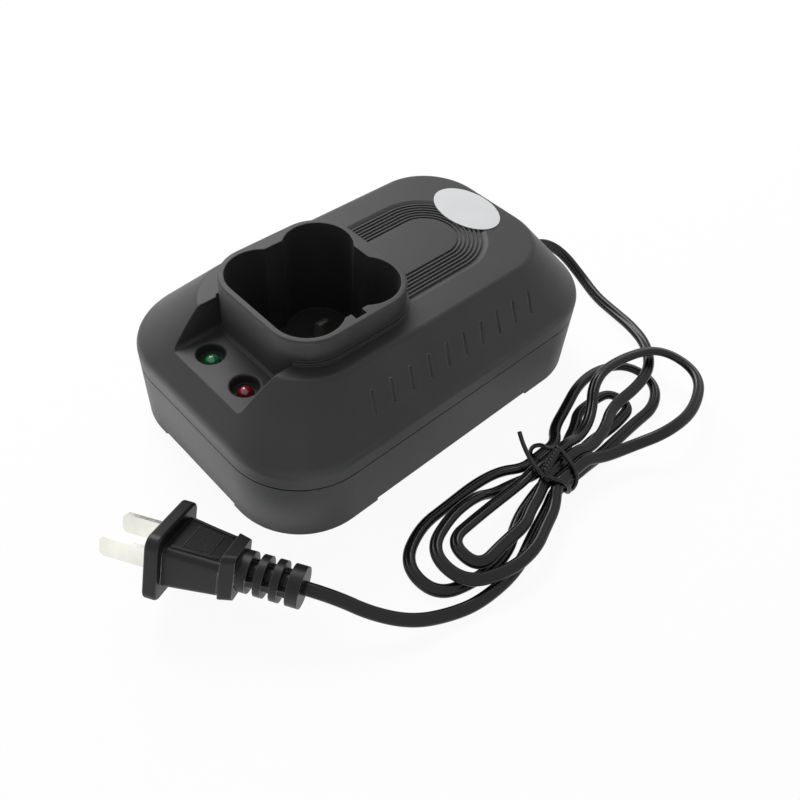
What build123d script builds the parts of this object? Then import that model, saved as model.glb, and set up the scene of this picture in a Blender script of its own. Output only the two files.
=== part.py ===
from build123d import *
import os
from math import cos, dist, hypot, pi, radians, sin, sqrt, tan

os.makedirs("parts", exist_ok=True)

# Driving dimensions of the housing, in millimetres.
# The object stands on z = 0. The light end is at -X, the cord end at +X.
body_length = 145.0
body_width = 95.0
corner_radius = 25.5
wall = 2.5
floor_thickness = 2.5
foot_height = 2.2
foot_length = 36.0
foot_width = 28.0
lower_height = 24.0
bottom_edge_radius = 1.2
band_edge_radius = 4.0
parting_gap = 0.4
band_height = 6.2
hood_rise = 17.2
front_setback = 17.0
back_setback = 13.0
side_setback = 15.8
plateau_radius = 21.0
plateau_edge_radius = 2.5
seal_gap = 0.3
lip_thickness = 1.2
lip_height = 2.2
lip_root = 3.0

# Collar and pocket for the battery stem
collar_size = 49.5
collar_front = 24.0
collar_rise = 8.6
collar_radius = 14.0
collar_rim_radius = 0.7
bead_width = 1.1
bead_height = 0.9
collar_foot = 0.8
collar_foot_angle = 45.0
pocket_wall = 2.1
pocket_depth = 37.5
lobe_radius = 11.5
waist_depth = 2.9
keyed_waist_depth = 2.2
waist_fillet = 0.8
key_slot_width = 4.2
key_slot_depth = 2.4
pocket_floor_thickness = 2.5
window_length = 14.0
window_width = 20.0

# Light recess and the two light holes
recess_drop = 10.2
recess_width = 34.0
recess_draft = 12.0
recess_fillet = 1.5
recess_overlap = 4.0
light_hole_diameter = 9.1
light_hole_edge = 0.4
light_cup_depth = 5.0
light_cup_wall = 1.2
light_cup_gap = 0.3
light_spacing = 17.5
light_from_collar = 8.8

# Decoration on the plateau and the near slope
groove_count = 7
groove_width = 0.9
groove_pitch = 1.43
groove_depth = 0.6
track_margin = 1.8
inner_groove_radius = 10.7
groove_reach = 26.5
tick_count = 10
tick_length = 7.5
tick_width = 1.3
tick_pitch = 7.8
tick_depth = 0.4
tick_slant = 18.0

# Screws and bosses
screw_inset_x = 16.5
screw_inset_y = 16.5
boss_diameter = 8.0
boss_gap = 0.3
screw_diameter = 3.0
screw_length = 22.0
screw_head_diameter = 5.6
screw_head_height = 2.0
screw_seat_z = 10.0
screw_clearance = 0.2
thread_clearance = 0.05
pilot_spare = 0.5
small_screw_diameter = 2.4
small_screw_head_diameter = 4.4
small_screw_head_height = 1.6
screw_slot_length_share = 0.6
screw_slot_width_share = 0.17
screw_slot_depth_share = 0.5
screw_edge_share = 0.25
board_screw_length = 6.5
light_screw_length = 6.0
block_screw_reach = 1.8

# Contact block and the two spring contacts in the pocket floor
block_length = 22.0
block_width = 36.0
block_thickness = 3.0
block_clearance = 0.2
block_screw_spacing = 28.0
contact_width = 4.0
contact_thickness = 0.8
contact_spacing = 9.0
contact_offset = 6.0
contact_height = 13.0
contact_tip = 2.6
contact_tip_angle = 60.0
contact_tail = 4.0
contact_side_gap = 0.3
contact_slot_gap = 0.5

# Lights and their little board
light_diameter = 5.0
light_flange_diameter = 5.8
light_flange_height = 1.0
light_body_height = 8.6
light_below_recess = 1.2
light_pin_diameter = 0.6
light_pin_spacing = 2.54
light_pin_length = 3.0
light_board_length = 11.0
light_board_width = 38.0
light_post_spacing = 31.0
light_post_diameter = 5.0

# Main board, from the pocket to the back wall, and what stands on it
board_thickness = 1.6
board_width = 50.0
board_gap = 6.0
board_back_gap = 7.0
board_post_height = 6.0
board_post_diameter = 6.5
board_screw_inset = 4.0
core_thickness = 5.0
core_width = 20.0
core_height = 16.0
core_leg = 5.0
core_yoke = 3.0
bobbin_base = 3.0
bobbin_wall = 1.0
bobbin_length = 15.0
bobbin_width = 14.0
winding_gap = 0.4
heat_sink_end_gap = 13.0
heat_sink_height = 22.0
heat_sink_thickness = 2.0
heat_sink_y = 21.0
switch_end_gap = 2.5
switch_width = 10.0
switch_height = 15.0
switch_body_height = 9.0
switch_thickness = 4.4
switch_tab_thickness = 1.3
switch_leg_pitch = 2.54
switch_leg_width = 0.8
switch_lift = 3.5
choke_diameter = 9.0
choke_bore = 3.6
choke_height = 6.5
choke_place = (0.0, -18.0)

# Mains side of the board, each place measured from the board's back edge
input_capacitor_diameter = 10.0
input_capacitor_height = 20.0
input_capacitor_place = (-8.0, -12.0)
filter_length = 12.0
filter_width = 5.0
filter_height = 11.0
filter_place = (-7.0, 6.5)
fuse_diameter = 8.4
fuse_height = 7.5
fuse_place = (-9.0, 13.9)
bridge_length = 6.4
bridge_width = 8.5
bridge_height = 4.0
bridge_place = (-7.5, -1.2)

# Battery side of the board, each place measured from the board's front edge
output_capacitor_diameter = 8.0
output_capacitor_height = 14.0
output_capacitor_places = ((6.5, -12.0), (6.5, -3.0))
capacitor_edge = 0.8
chip_length = 6.4
chip_width = 9.6
chip_height = 3.4
chip_mark_diameter = 1.2
chip_mark_depth = 0.4
chip_place = (9.8, 13.5)

# Cord, its strain relief and the paper label
cord_diameter = 3.8
cord_exit_z = 12.5
relief_hole_diameter = 9.0
relief_clearance = 0.1
relief_flange_diameter = 12.0
relief_flange_thickness = 1.6
relief_nose_length = 14.3
relief_nose_diameter = 6.6
inner_wire_diameter = 1.5
light_wire_diameter = 1.1
wire_rise = 4.5
contact_wire_pads = (3.5, 7.5)
light_wire_pads = (11.5, 13.5, 15.5)
light_wire_pitch = 2.0
light_wire_shares = (0.07, 0.22, 0.6, 0.87)
mains_wire_pads = (-3.0, 1.0)
mains_wire_spacing = 2.6
pad_inset = 2.0
wire_floor_gap = 1.2
label_length = 19.0
label_width = 27.5
label_thickness = 0.3
label_from_back = 23.7
label_y = 2.6

# Mains plug: two flat blades, a flange, a gripped body and a ribbed strain relief
plug_angle = -59.0
plug_lean = -24.0
plug_from_front = 27.8
plug_y = -25.9
flange_width = 25.0
flange_height = 21.0
flange_thickness = 4.1
flange_radius = 3.5
flange_edge_radius = 0.8
blade_spacing = 12.7
blade_length = 16.0
blade_height = 6.3
blade_thickness = 1.5
blade_tip_cut = 1.2
grip_width = 19.2
grip_height = 13.1
grip_length = 16.0
grip_end_width = 16.6
grip_end_height = 10.8
grip_radius = 2.0
shoulder_width = 15.0
shoulder_height = 14.8
shoulder_end_width = 12.4
shoulder_length = 3.8
rib_diameter = 12.2
rib_thicknesses = (3.2, 2.4, 2.4, 3.8)
rib_gap = 2.3
rib_core_diameter = 6.4
rib_web_width = 11.0
rib_web_thickness = 2.0
rail_height = 0.6
rail_width = 0.9
rail_start_spacing = 14.6
rail_end_spacing = 11.4
rail_length = 13.0
ridge_count = 13
ridge_pitch = 0.64
ridge_height = 0.3
ridge_width = 0.32
ridge_start_length = 11.2
ridge_end_length = 9.2

# Cord from the strain relief to the hank, and from the hank to the plug
lead_from_relief = ((6.0, 0.0), (12.2, -2.6), (15.6, -8.6), (15.2, -18.5), (10.0, -31.5))
lead_drops = (0.3, 2.5, 5.9)
lead_settle = 0.6
lead_to_hank = ((39.5, 32.5), (35.5, 21.0), (30.5, 11.0), (22.0, 3.0), (10.5, 0.0))
lead_rises = (1.2, 3.4)
plug_lead_from_hank = ((-9.0, 0.0), (-19.0, 3.1), (-30.0, 7.7), (-38.6, 15.6))
plug_lead_rise = 3.0
plug_lead_climb = 4.0
plug_lead_straight = 8.5
bend_share = 0.45

# Hank: three turns of cord, drawn in and tied at the waist, measured from its centre.
# Each turn has a tip, a run above and below it, a shoulder and a neck next to the waist.
hank_x = 16.0
hank_from_side = 30.0
layer_step = 4.4
waist_step = 4.4
waist_half_length = 4.5
waist_lift = 1.8
neck_distance = 18.0
cord_floor_gap = 0.1
left_reach = (49.0, 56.0, 63.0)
left_tip = (-4.5, -4.0, -0.5)
left_top = (2.2, 8.1, 13.2)
left_bottom = (-9.6, -17.4, -11.7)
left_shoulder = (30.0, 35.0, 43.0)
left_top_neck = (2.1, 5.9, 12.3)
left_bottom_neck = (-6.0, -12.7, -3.7)
right_reach = (69.0, 44.0, 61.0)
right_tip = (-1.0, 5.0, 7.5)
right_top = (14.0, 11.1, 19.8)
right_bottom = (-18.4, -1.1, -5.4)
right_shoulder = (44.0, 30.0, 45.0)
right_top_neck = (2.8, 6.5, 13.0)
right_bottom_neck = (-10.2, -0.7, -6.2)
hank_start = (40.0, 3.0)
hank_start_neck = -2.9
hank_end = (-45.0, -17.5)
hank_end_neck = -10.3

# Twist tie round the waist, with one free end
tie_diameter = 1.5
tie_gap = 0.3
tie_tail_start = (0.0, -5.0, 0.3)
tie_tail_middle = (-1.6, -1.0, 1.7)
tie_tail_end = (-3.6, 5.0, 12.5)
tie_twist_diameter = 2.6
tie_twist_wire = 1.0
tie_twist_count = 3
tie_twist_inset = 0.7
tie_twist_pitch = 1.1

# Below these two, lengths count as equal and a bend counts as straight
tolerance = 0.01
straight_bend = 0.000001

# Heights and places worked out from the driving dimensions
upper_base = lower_height + parting_gap
band_top = upper_base + band_height
plateau_z = band_top + hood_rise
rim_z = plateau_z + collar_rise
pocket_floor_z = rim_z - pocket_depth
well_base = pocket_floor_z - pocket_floor_thickness
recess_z = plateau_z - recess_drop
recess_underside = recess_z - wall
front_x = -body_length / 2
back_x = body_length / 2
plateau_length = body_length - front_setback - back_setback
plateau_width = body_width - 2 * side_setback
plateau_x = (front_setback - back_setback) / 2
collar_front_x = front_x + collar_front
collar_x = collar_front_x + collar_size / 2
pocket_size = collar_size - 2 * pocket_wall
outer_groove_radius = inner_groove_radius + (groove_count - 1) * groove_pitch
slope_length = hypot(side_setback, hood_rise)
cavity_bend = band_top - wall * (slope_length - hood_rise) / side_setback
cavity_inset = wall * (slope_length - side_setback) / hood_rise
cavity_floor = foot_height + floor_thickness
boss_x = body_length / 2 - screw_inset_x
boss_y = body_width / 2 - screw_inset_y
boss_places = [(boss_x, boss_y), (boss_x, -boss_y), (-boss_x, boss_y), (-boss_x, -boss_y)]
upper_boss_base = lower_height + boss_gap
light_x = collar_front_x - light_from_collar
light_places = [(light_x, light_spacing / 2), (light_x, -light_spacing / 2)]
light_post_places = [(light_x, light_post_spacing / 2), (light_x, -light_post_spacing / 2)]
light_cup_base = recess_z - light_cup_depth
light_board_top = recess_z - light_below_recess - light_body_height
light_board_z = light_board_top - board_thickness
block_x = collar_x + contact_offset
block_z = well_base - block_thickness
block_screw_places = [(block_x, block_screw_spacing / 2), (block_x, -block_screw_spacing / 2)]
contact_places = [(block_x, contact_spacing / 2), (block_x, -contact_spacing / 2)]
board_front = collar_x + collar_size / 2 + board_gap
board_back = back_x - wall - board_back_gap
board_length = board_back - board_front
board_x = (board_front + board_back) / 2
board_z = cavity_floor + board_post_height
board_top = board_z + board_thickness
post_x = board_length / 2 - board_screw_inset
post_y = board_width / 2 - board_screw_inset
board_post_places = [
    (board_x + post_x, post_y),
    (board_x + post_x, -post_y),
    (board_x - post_x, post_y),
    (board_x - post_x, -post_y),
]
cord_radius = cord_diameter / 2
label_x = back_x - label_from_back
plug_x = front_x - plug_from_front
hank_y = -body_width / 2 - hank_from_side


def finish(piece, name):
    """Give a finished piece its name and write it out."""
    piece.part.label = name
    export_step(piece.part, "parts/" + name + ".step")


def copies(shape, places):
    """One piece repeated at several places, as one group of solids."""
    with BuildPart() as group:
        with Locations(*places):
            add(shape)
    return group


def pan_screw(diameter, length, head_diameter, head_height):
    """A pan head screw that points up from z = 0, with its cross-slotted head below."""
    with BuildPart() as screw:
        Cylinder(diameter / 2, length, align=(Align.CENTER, Align.CENTER, Align.MIN))
        Cylinder(head_diameter / 2, head_height, align=(Align.CENTER, Align.CENTER, Align.MAX))
        chamfer(screw.edges().group_by(Axis.Z)[0], head_height * screw_edge_share)
        slot_length = head_diameter * screw_slot_length_share
        slot_width = head_diameter * screw_slot_width_share
        with BuildSketch(Plane.XY.offset(-head_height)):
            Rectangle(slot_length, slot_width)
            Rectangle(slot_width, slot_length)
        extrude(amount=head_height * screw_slot_depth_share, mode=Mode.SUBTRACT)
    return screw.part


# Outer form of the upper housing: a low band, then slopes up to the plateau
with BuildPart() as hood_form:
    with BuildSketch(Plane.XY.offset(upper_base)):
        RectangleRounded(body_length, body_width, corner_radius)
    extrude(amount=band_height)
    with BuildSketch(Plane.XY.offset(band_top)):
        RectangleRounded(body_length, body_width, corner_radius)
    with BuildSketch(Plane.XY.offset(plateau_z)):
        with Locations((plateau_x, 0)):
            RectangleRounded(plateau_length, plateau_width, plateau_radius)
    loft(ruled=True)
    plateau_edges = hood_form.edges().filter_by_position(Axis.Z, plateau_z - tolerance, plateau_z + tolerance)
    fillet(plateau_edges, plateau_edge_radius)
    band_edges = hood_form.edges().filter_by_position(Axis.Z, band_top - tolerance, band_top + tolerance)
    fillet(band_edges, band_edge_radius)

# The hollow inside it, one wall in from every face
with BuildPart() as hood_cavity:
    with BuildSketch(Plane.XY.offset(upper_base)):
        RectangleRounded(body_length - 2 * wall, body_width - 2 * wall, corner_radius - wall)
    extrude(amount=cavity_bend - upper_base)
    with BuildSketch(Plane.XY.offset(cavity_bend)):
        RectangleRounded(body_length - 2 * wall, body_width - 2 * wall, corner_radius - wall)
    with BuildSketch(Plane.XY.offset(plateau_z - wall)):
        with Locations((plateau_x, 0)):
            RectangleRounded(
                plateau_length - 2 * cavity_inset,
                plateau_width - 2 * cavity_inset,
                plateau_radius - cavity_inset,
            )
    loft(ruled=True)

# Tray under the light recess, kept inside the outer form
with BuildPart() as recess_tray:
    with BuildSketch(Plane.XY.offset(recess_underside)):
        with Locations((collar_front_x + recess_overlap, 0)):
            Rectangle(
                collar_front + recess_overlap,
                recess_width + 2 * wall,
                align=(Align.MAX, Align.CENTER),
            )
    extrude(amount=recess_drop, taper=-recess_draft)
    add(hood_form.part, mode=Mode.INTERSECT)

# Upper screw bosses, from the parting line up into the slopes
with BuildPart() as upper_bosses:
    with BuildSketch(Plane.XY.offset(upper_boss_base)):
        with Locations(*boss_places):
            Circle(boss_diameter / 2)
    extrude(amount=plateau_z - upper_boss_base)
    add(hood_form.part, mode=Mode.INTERSECT)

# Outline of the battery pocket: four round lobes, and three flat waists between them
half_pocket = pocket_size / 2
lobe_centre = half_pocket - lobe_radius
waist_length = pocket_size - waist_depth
waist_width = pocket_size - waist_depth - keyed_waist_depth
with BuildSketch() as pocket_outline:
    with Locations((-half_pocket, 0)):
        Rectangle(waist_length, 2 * lobe_centre, align=(Align.MIN, Align.CENTER))
    with Locations((0, keyed_waist_depth - half_pocket)):
        Rectangle(2 * lobe_centre, waist_width, align=(Align.CENTER, Align.MIN))
    with GridLocations(2 * lobe_centre, 2 * lobe_centre, 2, 2):
        Circle(lobe_radius)
    waist_corners = pocket_outline.vertices().sort_by_distance((0, 0))[:6]
    fillet(waist_corners, waist_fillet)
    with Locations((0, keyed_waist_depth - half_pocket)):
        Rectangle(key_slot_width, 2 * key_slot_depth)

# Cut for the light recess, rounded along the foot of its side walls
with BuildPart() as recess_cut:
    with BuildSketch(Plane.XY.offset(recess_z)):
        with Locations((collar_front_x + recess_overlap, 0)):
            Rectangle(
                collar_front + recess_overlap, recess_width, align=(Align.MAX, Align.CENTER)
            )
    extrude(amount=recess_drop + 2 * bead_height, taper=-recess_draft)
    foot_edges = recess_cut.edges().filter_by(Axis.X).group_by(Axis.Z)[0]
    fillet(foot_edges, recess_fillet)


def groove_outline(radius, mode=Mode.ADD):
    """A long slot from under the collar to the middle of the grooves' turn."""
    with Locations(((collar_x + groove_reach) / 2, 0)):
        SlotCenterToCenter(groove_reach - collar_x, 2 * radius, mode=mode)


# Shallow track round the grooves, its outer edge sloping down to the outermost one
with BuildPart() as groove_track:
    with BuildSketch(Plane.XY.offset(plateau_z)):
        groove_outline(outer_groove_radius + track_margin)
    with BuildSketch(Plane.XY.offset(plateau_z - groove_depth)):
        groove_outline(outer_groove_radius)
    loft(ruled=True)
    with BuildSketch(Plane.XY.offset(plateau_z)):
        groove_outline(outer_groove_radius)
    extrude(amount=-groove_depth, mode=Mode.SUBTRACT)

# Upper housing
with BuildPart() as upper_housing:
    add(hood_form.part)
    add(hood_cavity.part, mode=Mode.SUBTRACT)
    add(recess_tray.part)
    add(upper_bosses.part)

    # Concentric grooves that run out from under the collar
    add(groove_track.part, mode=Mode.SUBTRACT)
    for index in range(groove_count):
        groove_radius = inner_groove_radius + index * groove_pitch
        with BuildSketch(Plane.XY.offset(plateau_z)):
            groove_outline(groove_radius + groove_width / 2)
            groove_outline(groove_radius - groove_width / 2, Mode.SUBTRACT)
        extrude(amount=-groove_depth, mode=Mode.SUBTRACT)

    # Raised bead at the foot of the collar
    with BuildSketch(Plane.XY.offset(plateau_z - wall / 2)):
        with Locations((collar_x, 0)):
            RectangleRounded(
                collar_size + 2 * bead_width, collar_size + 2 * bead_width, collar_radius + bead_width
            )
    extrude(amount=wall / 2 + bead_height)

    # Light recess
    add(recess_cut.part, mode=Mode.SUBTRACT)

    # Collar and well, with a sloping foot where the collar stands in the recess
    with BuildSketch(Plane.XY.offset(recess_z)):
        with Locations((collar_x, 0)):
            RectangleRounded(
                collar_size + 2 * collar_foot, collar_size + 2 * collar_foot, collar_radius + collar_foot
            )
    extrude(amount=collar_foot, taper=collar_foot_angle)
    with BuildSketch(Plane.XY.offset(well_base)):
        with Locations((collar_x, 0)):
            RectangleRounded(collar_size, collar_size, collar_radius)
    extrude(amount=rim_z - well_base)
    rim_edges = upper_housing.edges().filter_by_position(Axis.Z, rim_z - tolerance, rim_z + tolerance)
    fillet(rim_edges, collar_rim_radius)

    # Battery pocket
    with BuildSketch(Plane.XY.offset(pocket_floor_z)):
        with Locations((collar_x, 0)):
            add(pocket_outline.sketch)
    extrude(amount=pocket_depth, mode=Mode.SUBTRACT)

    # Window in the pocket floor for the contact block
    with BuildSketch(Plane.XY.offset(well_base)):
        with Locations((block_x, 0)):
            Rectangle(window_length, window_width)
    extrude(amount=pocket_floor_thickness, mode=Mode.SUBTRACT)

    # Posts for the light board, and a cup round each light
    with BuildSketch(Plane.XY.offset(light_board_top)):
        with Locations(*light_post_places):
            Circle(light_post_diameter / 2)
    extrude(amount=recess_underside - light_board_top)
    with BuildSketch(Plane.XY.offset(light_cup_base)):
        with Locations(*light_places):
            Circle(light_hole_diameter / 2 + light_cup_wall)
    extrude(amount=recess_underside - light_cup_base)
    with BuildSketch(Plane.XY.offset(light_cup_base + light_cup_wall)):
        with Locations(*light_places):
            Circle(light_hole_diameter / 2)
    extrude(amount=light_cup_depth - light_cup_wall, mode=Mode.SUBTRACT)
    flat_edges = upper_housing.edges().filter_by_position(Axis.Z, recess_z - tolerance, recess_z + tolerance)
    hole_edges = [
        edge
        for edge in flat_edges.filter_by(GeomType.CIRCLE)
        if abs(edge.radius - light_hole_diameter / 2) < tolerance
    ]
    chamfer(hole_edges, light_hole_edge)
    with BuildSketch(Plane.XY.offset(light_cup_base)):
        with Locations(*light_places):
            Circle(light_diameter / 2 + light_cup_gap)
    extrude(amount=light_cup_wall, mode=Mode.SUBTRACT)

    # Pilot holes for the three sorts of screw
    with BuildSketch(Plane.XY.offset(upper_boss_base)):
        with Locations(*boss_places):
            Circle(screw_diameter / 2 + thread_clearance)
    extrude(amount=screw_seat_z + screw_length + pilot_spare - upper_boss_base, mode=Mode.SUBTRACT)
    with BuildSketch(Plane.XY.offset(light_board_top)):
        with Locations(*light_post_places):
            Circle(small_screw_diameter / 2 + thread_clearance)
    extrude(amount=light_screw_length - board_thickness + pilot_spare, mode=Mode.SUBTRACT)
    with BuildSketch(Plane.XY.offset(well_base)):
        with Locations(*block_screw_places):
            Circle(small_screw_diameter / 2 + thread_clearance)
    extrude(amount=block_screw_reach + pilot_spare / 2, mode=Mode.SUBTRACT)

    # Row of slanted marks pressed into the near slope
    near_slope = Plane(
        origin=(plateau_x, (side_setback - body_width) / 2, band_top + hood_rise / 2),
        x_dir=(1, 0, 0),
        z_dir=(0, -hood_rise, side_setback),
    )
    with BuildSketch(near_slope):
        with GridLocations(tick_pitch, 1, tick_count, 1):
            Rectangle(tick_width, tick_length, rotation=-tick_slant)
    extrude(amount=-tick_depth, mode=Mode.SUBTRACT)

finish(upper_housing, "upper_housing")

# Lower housing: a tray on four corner feet, with a lip that enters the upper housing
lip_inset = wall + seal_gap
lip_inner_inset = lip_inset + lip_thickness
with BuildPart() as lower_housing:
    with BuildSketch():
        RectangleRounded(body_length, body_width, corner_radius)
    extrude(amount=lower_height)
    fillet(lower_housing.edges().group_by(Axis.Z)[0], bottom_edge_radius)
    with BuildSketch():
        Rectangle(body_length - 2 * foot_length, 2 * body_width)
        Rectangle(2 * body_length, body_width - 2 * foot_width)
    extrude(amount=foot_height, mode=Mode.SUBTRACT)
    with BuildSketch(Plane.XY.offset(cavity_floor)):
        RectangleRounded(body_length - 2 * wall, body_width - 2 * wall, corner_radius - wall)
    extrude(amount=lower_height, mode=Mode.SUBTRACT)

    # Root of the lip, against the wall, and the lip that stands up from it
    with BuildSketch(Plane.XY.offset(lower_height - lip_root)):
        RectangleRounded(body_length, body_width, corner_radius)
    extrude(amount=lip_root)
    with BuildSketch(Plane.XY.offset(lower_height)):
        RectangleRounded(
            body_length - 2 * lip_inset, body_width - 2 * lip_inset, corner_radius - lip_inset
        )
    extrude(amount=lip_height)
    with BuildSketch(Plane.XY.offset(lower_height - lip_root)):
        RectangleRounded(
            body_length - 2 * lip_inner_inset,
            body_width - 2 * lip_inner_inset,
            corner_radius - lip_inner_inset,
        )
    extrude(amount=lip_root + lip_height, mode=Mode.SUBTRACT)

    # Screw bosses and board posts
    with BuildSketch(Plane.XY.offset(foot_height)):
        with Locations(*boss_places):
            Circle(boss_diameter / 2)
    extrude(amount=lower_height - foot_height)
    with BuildSketch(Plane.XY.offset(foot_height)):
        with Locations(*board_post_places):
            Circle(board_post_diameter / 2)
    extrude(amount=board_z - foot_height)

    # Screw holes
    with BuildSketch():
        with Locations(*boss_places):
            Circle(screw_head_diameter / 2 + screw_clearance)
    extrude(amount=screw_seat_z, mode=Mode.SUBTRACT)
    with BuildSketch():
        with Locations(*boss_places):
            Circle(screw_diameter / 2 + screw_clearance)
    extrude(amount=lower_height, mode=Mode.SUBTRACT)
    with BuildSketch(Plane.XY.offset(board_z)):
        with Locations(*board_post_places):
            Circle(small_screw_diameter / 2 + thread_clearance)
    extrude(amount=board_thickness - board_screw_length - pilot_spare, mode=Mode.SUBTRACT)

    # Hole for the cord's strain relief
    with BuildSketch(Plane.YZ.offset(back_x - 2 * wall)):
        with Locations((0, cord_exit_z)):
            Circle(relief_hole_diameter / 2)
    extrude(amount=4 * wall, mode=Mode.SUBTRACT)

finish(lower_housing, "lower_housing")

# Four screws that pull the housing together from below
housing_screw = pan_screw(screw_diameter, screw_length, screw_head_diameter, screw_head_height)
housing_screws = copies(housing_screw, [(x, y, screw_seat_z) for x, y in boss_places])
finish(housing_screws, "housing_screws")

# Contact block: a plate under the pocket floor, with a land that fills the window
leaf_slot_length = contact_width + 2 * contact_side_gap
leaf_slot_width = contact_thickness + 2 * contact_slot_gap
with BuildPart() as contact_block:
    with BuildSketch(Plane.XY.offset(block_z)):
        with Locations((block_x, 0)):
            RectangleRounded(block_length, block_width, small_screw_diameter)
    extrude(amount=block_thickness)
    with BuildSketch(Plane.XY.offset(well_base)):
        with Locations((block_x, 0)):
            Rectangle(window_length - 2 * block_clearance, window_width - 2 * block_clearance)
    extrude(amount=pocket_floor_thickness)
    with BuildSketch(Plane.XY.offset(block_z)):
        with Locations(*contact_places):
            Rectangle(leaf_slot_length, leaf_slot_width)
    extrude(amount=block_thickness + pocket_floor_thickness, mode=Mode.SUBTRACT)
    with BuildSketch(Plane.XY.offset(block_z)):
        with Locations(*block_screw_places):
            Circle(small_screw_diameter / 2 + screw_clearance)
    extrude(amount=block_thickness, mode=Mode.SUBTRACT)
finish(contact_block, "contact_block")

block_screw = pan_screw(
    small_screw_diameter,
    block_thickness + block_screw_reach,
    small_screw_head_diameter,
    small_screw_head_height,
)
contact_block_screws = copies(block_screw, [(x, y, block_z) for x, y in block_screw_places])
finish(contact_block_screws, "contact_block_screws")

# The two spring contacts: upright leaves with a bent tip, their tails below the block
contact_foot_z = block_z - contact_tail
contact_bend_z = pocket_floor_z + contact_height - contact_tip * cos(radians(contact_tip_angle))
for contact_name, (leaf_x, leaf_y) in zip(("contact_positive", "contact_negative"), contact_places):
    with BuildPart() as contact:
        with BuildSketch(Plane.YZ.offset(leaf_x - contact_width / 2)):
            with BuildLine():
                leaf = Line((leaf_y, contact_foot_z), (leaf_y, contact_bend_z))
                PolarLine(leaf @ 1, contact_tip, angle=90 + contact_tip_angle)
            trace(line_width=contact_thickness)
        extrude(amount=contact_width)
    finish(contact, contact_name)

# Lights: a round-nosed lens on a flange, with two pins down into the light board
with BuildPart() as light:
    with BuildSketch(Plane.XZ):
        with BuildLine():
            dome_base = light_body_height - light_diameter / 2
            Line((0, 0), (light_flange_diameter / 2, 0))
            Line((light_flange_diameter / 2, 0), (light_flange_diameter / 2, light_flange_height))
            Line((light_flange_diameter / 2, light_flange_height), (light_diameter / 2, light_flange_height))
            Line((light_diameter / 2, light_flange_height), (light_diameter / 2, dome_base))
            RadiusArc((light_diameter / 2, dome_base), (0, light_body_height), -light_diameter / 2)
            Line((0, light_body_height), (0, 0))
        make_face()
    revolve(axis=Axis.Z)
    with BuildSketch():
        with GridLocations(light_pin_spacing, 1, 2, 1):
            Circle(light_pin_diameter / 2)
    extrude(amount=-light_pin_length)
for light_name, (lamp_x, lamp_y) in zip(("led_green", "led_red"), light_places):
    finish(copies(light.part, [(lamp_x, lamp_y, light_board_top)]), light_name)

with BuildPart() as light_board:
    with BuildSketch(Plane.XY.offset(light_board_z)):
        with Locations((light_x, 0)):
            Rectangle(light_board_length, light_board_width)
        with Locations(*light_places):
            with GridLocations(light_pin_spacing, 1, 2, 1):
                Circle(light_pin_diameter / 2 + thread_clearance, mode=Mode.SUBTRACT)
        with Locations(*light_post_places):
            Circle(small_screw_diameter / 2 + screw_clearance, mode=Mode.SUBTRACT)
    extrude(amount=board_thickness)
finish(light_board, "light_board")

light_screw = pan_screw(
    small_screw_diameter, light_screw_length, small_screw_head_diameter, small_screw_head_height
)
light_board_screws = copies(light_screw, [(x, y, light_board_z) for x, y in light_post_places])
finish(light_board_screws, "light_board_screws")

# Main board on its four posts, held by four screws from above
with BuildPart() as main_board:
    with BuildSketch(Plane.XY.offset(board_z)):
        with Locations((board_x, 0)):
            Rectangle(board_length, board_width)
        with Locations(*board_post_places):
            Circle(small_screw_diameter / 2 + screw_clearance, mode=Mode.SUBTRACT)
    extrude(amount=board_thickness)
finish(main_board, "main_board")

board_screw = Rotation(180, 0, 0) * pan_screw(
    small_screw_diameter, board_screw_length, small_screw_head_diameter, small_screw_head_height
)
board_screws = copies(board_screw, [(x, y, board_top) for x, y in board_post_places])
finish(board_screws, "board_screws")

# Transformer: a two-window ferrite core, its bobbin and its winding
core_base = board_top + bobbin_base
core_window_height = core_height - 2 * core_yoke
core_window_width = (core_width - core_leg - 2 * core_yoke) / 2
window_y = (core_leg + core_window_width) / 2
window_base = core_base + core_yoke
tube_length = core_thickness + 2 * bobbin_wall
tube_width = core_leg + 2 * bobbin_wall
stand = (Align.CENTER, Align.CENTER, Align.MIN)
with BuildPart() as transformer_core:
    with Locations((board_x, 0, core_base)):
        Box(core_thickness, core_width, core_height, align=stand)
    with Locations((board_x, window_y, window_base), (board_x, -window_y, window_base)):
        Box(core_thickness, core_window_width, core_window_height, align=stand, mode=Mode.SUBTRACT)
finish(transformer_core, "transformer_core")

flange_span = core_leg + 2 * core_window_width - 2 * winding_gap
with BuildPart() as transformer_bobbin:
    with Locations((board_x, 0, board_top)):
        Box(bobbin_length, bobbin_width, bobbin_base + core_yoke + bobbin_wall, align=stand)
    with Locations((board_x, 0, core_base)):
        Box(core_thickness + 2 * thread_clearance, bobbin_width, core_yoke, align=stand, mode=Mode.SUBTRACT)
    with Locations((board_x, 0, window_base)):
        Box(bobbin_length, bobbin_width, core_yoke, align=stand, mode=Mode.SUBTRACT)
        Box(bobbin_length, flange_span, bobbin_wall, align=stand)
        Box(tube_length, tube_width, core_window_height - winding_gap, align=stand)
        Box(
            core_thickness + 2 * thread_clearance,
            core_leg + 2 * thread_clearance,
            core_height,
            align=stand,
            mode=Mode.SUBTRACT,
        )
finish(transformer_bobbin, "transformer_bobbin")

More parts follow.
